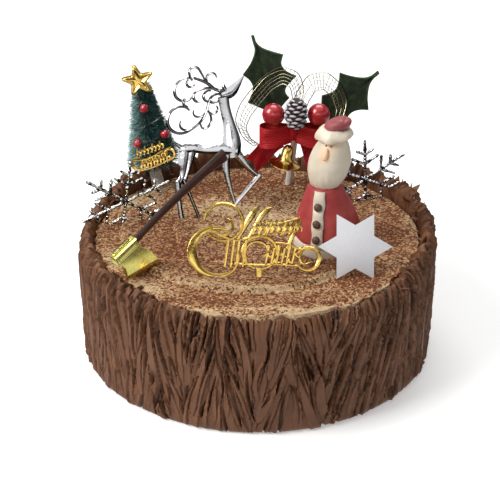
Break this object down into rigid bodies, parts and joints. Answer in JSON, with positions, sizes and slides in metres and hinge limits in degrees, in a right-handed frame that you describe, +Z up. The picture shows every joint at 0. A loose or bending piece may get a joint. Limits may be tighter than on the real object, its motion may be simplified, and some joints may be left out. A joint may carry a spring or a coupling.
{
  "type": "yule log cake",
  "caption": "Round yule log cake with combed chocolate cream bark, a cocoa dusted cream top and festive picks, a Santa figure and an openwork gold plaque.",
  "frame": {"origin": "centre of the cake's flat base, on the surface it stands on", "axes": "+Z up, -Y towards the viewer who faces the plaque, +X to that viewer's right"},
  "size_m": [0.1623, 0.1616, 0.1276],
  "materials": {
    "chocolate_cream": "smooth whipped cream",
    "coffee_cream": "cream dusted with cocoa",
    "white_chocolate": "satin",
    "red_chocolate": "satin",
    "dark_chocolate": "satin",
    "chrome": "polished plating on plastic",
    "gold": "polished plating on plastic",
    "dark_handle": "satin",
    "white_plastic": "matte",
    "silver_foil": "wrapped foil",
    "pine_bristle": "frosted bristle",
    "holly_felt": "flocked",
    "green_wire": "wrapped wire",
    "red_gloss": "gloss",
    "pine_cone": "frosted",
    "red_ribbon": "ribbed satin",
    "gold_net": "open metallic net",
    "white_card": "coated card"
  },
  "bodies": {
    "root": {"bark_cream": "chocolate_cream", "top_cream": "coffee_cream", "santa_hem": "white_chocolate", "santa_robe": "red_chocolate", "santa_placket": "white_chocolate", "santa_button_1": "dark_chocolate", "santa_button_2": "dark_chocolate", "santa_button_3": "dark_chocolate", "santa_head": "white_chocolate", "santa_nose": "white_chocolate", "santa_hat_trim": "white_chocolate", "santa_hat": "red_chocolate", "tree_trunk": "silver_foil", "tree_foliage": "pine_bristle", "tree_star": "gold", "tree_berry_1": "red_gloss", "tree_berry_2": "red_gloss", "tree_berry_3": "red_gloss", "tree_scroll": "gold", "reindeer": "chrome", "axe_handle": "dark_handle", "axe_head": "gold", "holly_stick": "white_plastic", "holly_stem": "green_wire", "holly_leaf_left": "holly_felt", "holly_leaf_right": "holly_felt", "holly_berry_left": "red_gloss", "holly_berry_right": "red_gloss", "pine_cone": "pine_cone", "bow_knot": "red_ribbon", "bow_loop_left": "red_ribbon", "bow_loop_right": "red_ribbon", "bow_tail_left": "red_ribbon", "bow_tail_right": "red_ribbon", "bell": "gold", "net_ribbon_left": "gold_net", "net_ribbon_right": "gold_net", "snowflake_left": "chrome", "snowflake_right": "chrome", "gold_scroll": "gold", "star_card": "white_card"}
  },
  "joints": []
}
